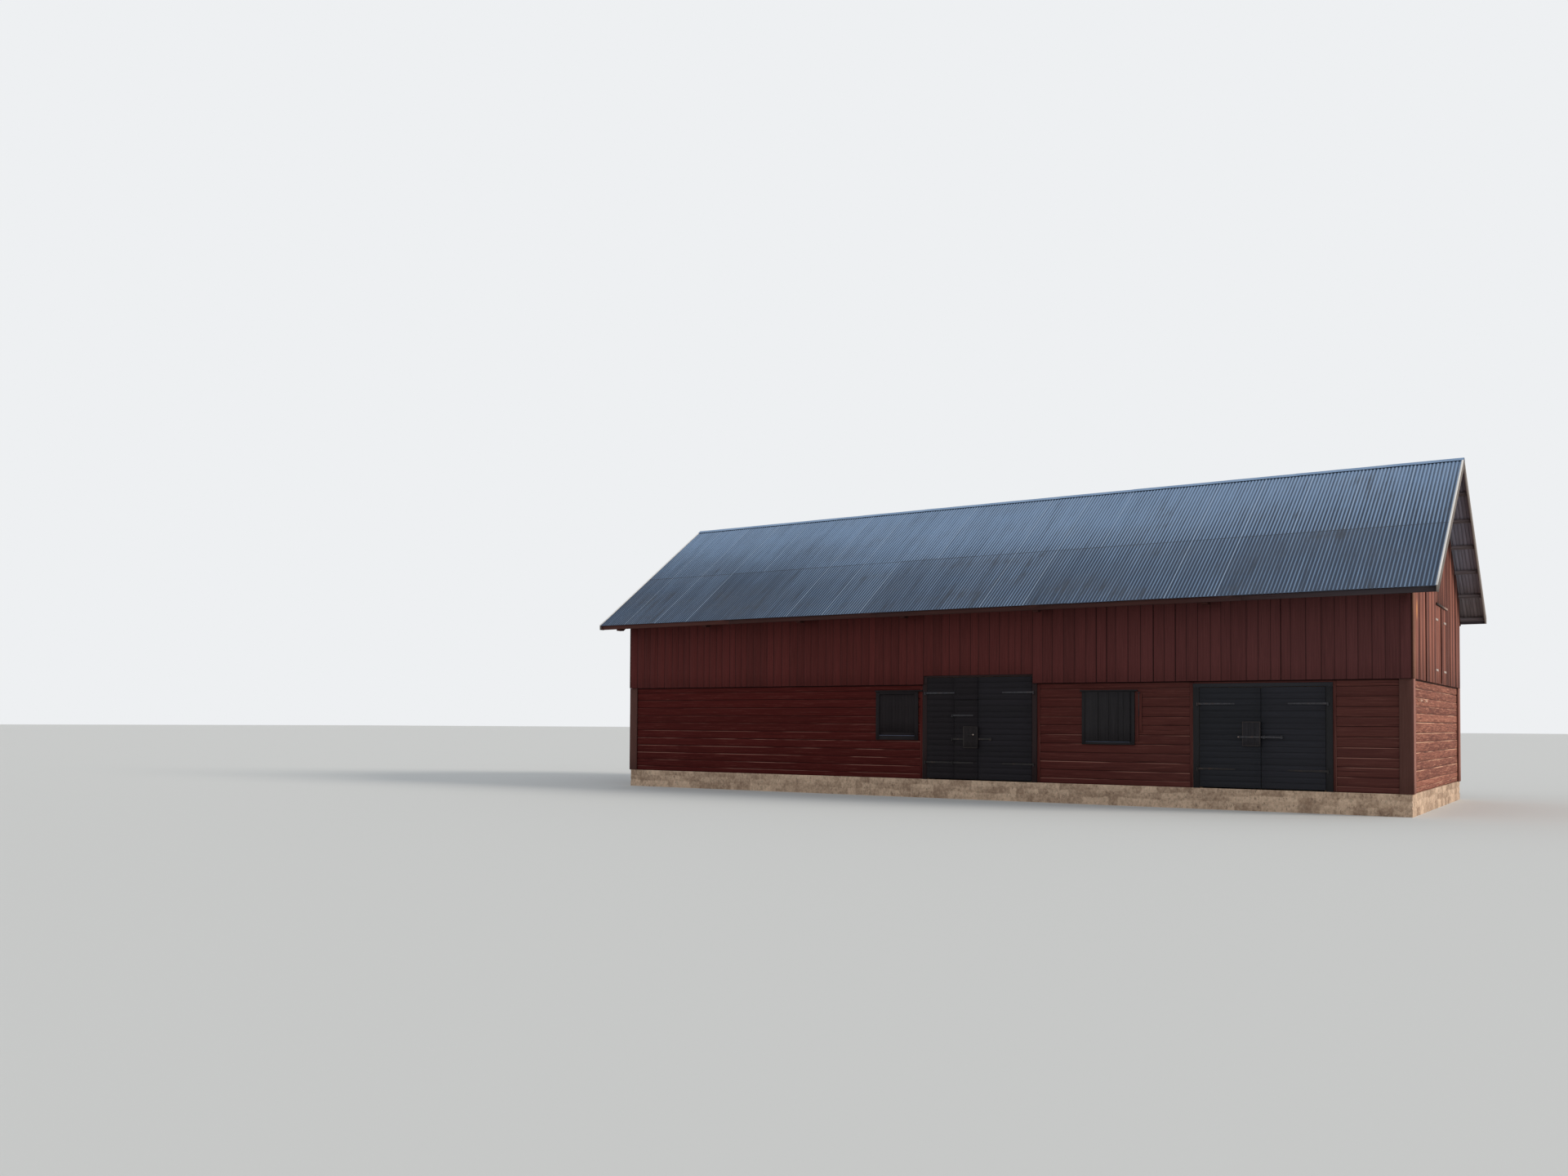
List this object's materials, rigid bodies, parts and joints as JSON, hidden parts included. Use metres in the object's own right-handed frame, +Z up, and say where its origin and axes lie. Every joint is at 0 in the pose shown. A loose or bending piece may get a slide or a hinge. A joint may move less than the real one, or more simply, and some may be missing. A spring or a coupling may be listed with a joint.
{
  "type": "log and board barn with double doors",
  "caption": "Long two-storey barn of squared logs and upright boards on a stone plinth, with a corrugated pitched roof, strap-hinged double doors and a wicket.",
  "frame": {"origin": "on the ground at the middle of the plan, level with the bottom of the plinth", "axes": "+X along the front wall to the right, +Y from the front wall into the barn, +Z up"},
  "size_m": [21.06, 9.2324, 7.7123],
  "materials": {
    "stone": "rough pale rubble and lime mortar",
    "log": "hewn timber in weathered red earth paint",
    "board": "sawn boards in weathered red earth paint",
    "weathered": "bare weathered boards",
    "timber": "rough sawn timber",
    "sheet": "corrugated steel with dark streaks",
    "door": "black tarred boards",
    "iron": "dark forged iron",
    "lock": "brown wood",
    "casing": "black painted boards"
  },
  "bodies": {
    "barn": {"long_plinths": "stone", "gable_plinths": "stone", "front_logs_left": "log", "front_logs_middle": "log", "front_logs_right": "log", "front_logs_over_low_door": "log", "back_logs": "log", "gable_logs": "log", "corner_boards": "board", "front_boards_left": "board", "front_boards_over_tall_door": "board", "front_boards_right": "board", "back_boards": "board", "right_gable_boards": "board", "left_gable_boards": "board", "wall_posts": "timber", "wall_plates": "timber", "tie_beams": "timber", "loft_joists": "timber", "loft_floor": "timber", "rafters_front": "timber", "rafters_back": "timber", "purlins": "timber", "roof_boards": "timber", "front_sheets_lower": "sheet", "front_sheets_upper": "sheet", "back_sheets_lower": "sheet", "back_sheets_upper": "sheet", "ridge_cap": "sheet", "eave_fascias": "board", "barge_boards": "weathered", "verge_strips": "weathered", "tall_door_frame": "timber", "tall_door_casing": "casing", "low_door_frame": "timber", "low_door_casing": "casing", "left_window_casing": "casing", "left_window_shutter": "door", "right_window_casing": "casing", "right_window_shutter": "door", "hay_door": "board", "hay_door_hood": "weathered", "hay_door_irons": "iron", "gable_knobs": "weathered", "hinge_pintles": "iron"},
    "tall_left_leaf": {"tall_door_left": "door", "tall_door_left_head": "door", "tall_door_left_irons": "iron"},
    "wicket_leaf": {"wicket": "door", "wicket_irons": "iron", "wicket_lock_plate": "lock"},
    "tall_right_leaf": {"tall_door_right": "door", "tall_door_right_irons": "iron"},
    "low_left_leaf": {"low_door_left": "door", "low_door_left_irons": "iron", "low_door_lock_plate": "lock"},
    "low_right_leaf": {"low_door_right": "door", "low_door_right_irons": "iron"}
  },
  "joints": [
    {"name": "tall_left_hinge", "type": "hinge", "parent": "barn", "child": "tall_left_leaf", "pos_m": [-0.7, -3.922, 0.862], "axis": [0, 0, -1], "range_deg": [0, 110]},
    {"name": "wicket_hinge", "type": "hinge", "parent": "tall_left_leaf", "child": "wicket_leaf", "pos_m": [0.022, -3.922, 0.862], "axis": [0, 0, -1], "range_deg": [0, 100]},
    {"name": "tall_right_hinge", "type": "hinge", "parent": "barn", "child": "tall_right_leaf", "pos_m": [2.084, -3.922, 0.862], "axis": [0, 0, 1], "range_deg": [0, 110]},
    {"name": "low_left_hinge", "type": "hinge", "parent": "barn", "child": "low_left_leaf", "pos_m": [5.804, -3.922, 0.862], "axis": [0, 0, -1], "range_deg": [0, 110]},
    {"name": "low_right_hinge", "type": "hinge", "parent": "barn", "child": "low_right_leaf", "pos_m": [8.428, -3.922, 0.862], "axis": [0, 0, 1], "range_deg": [0, 110]}
  ]
}
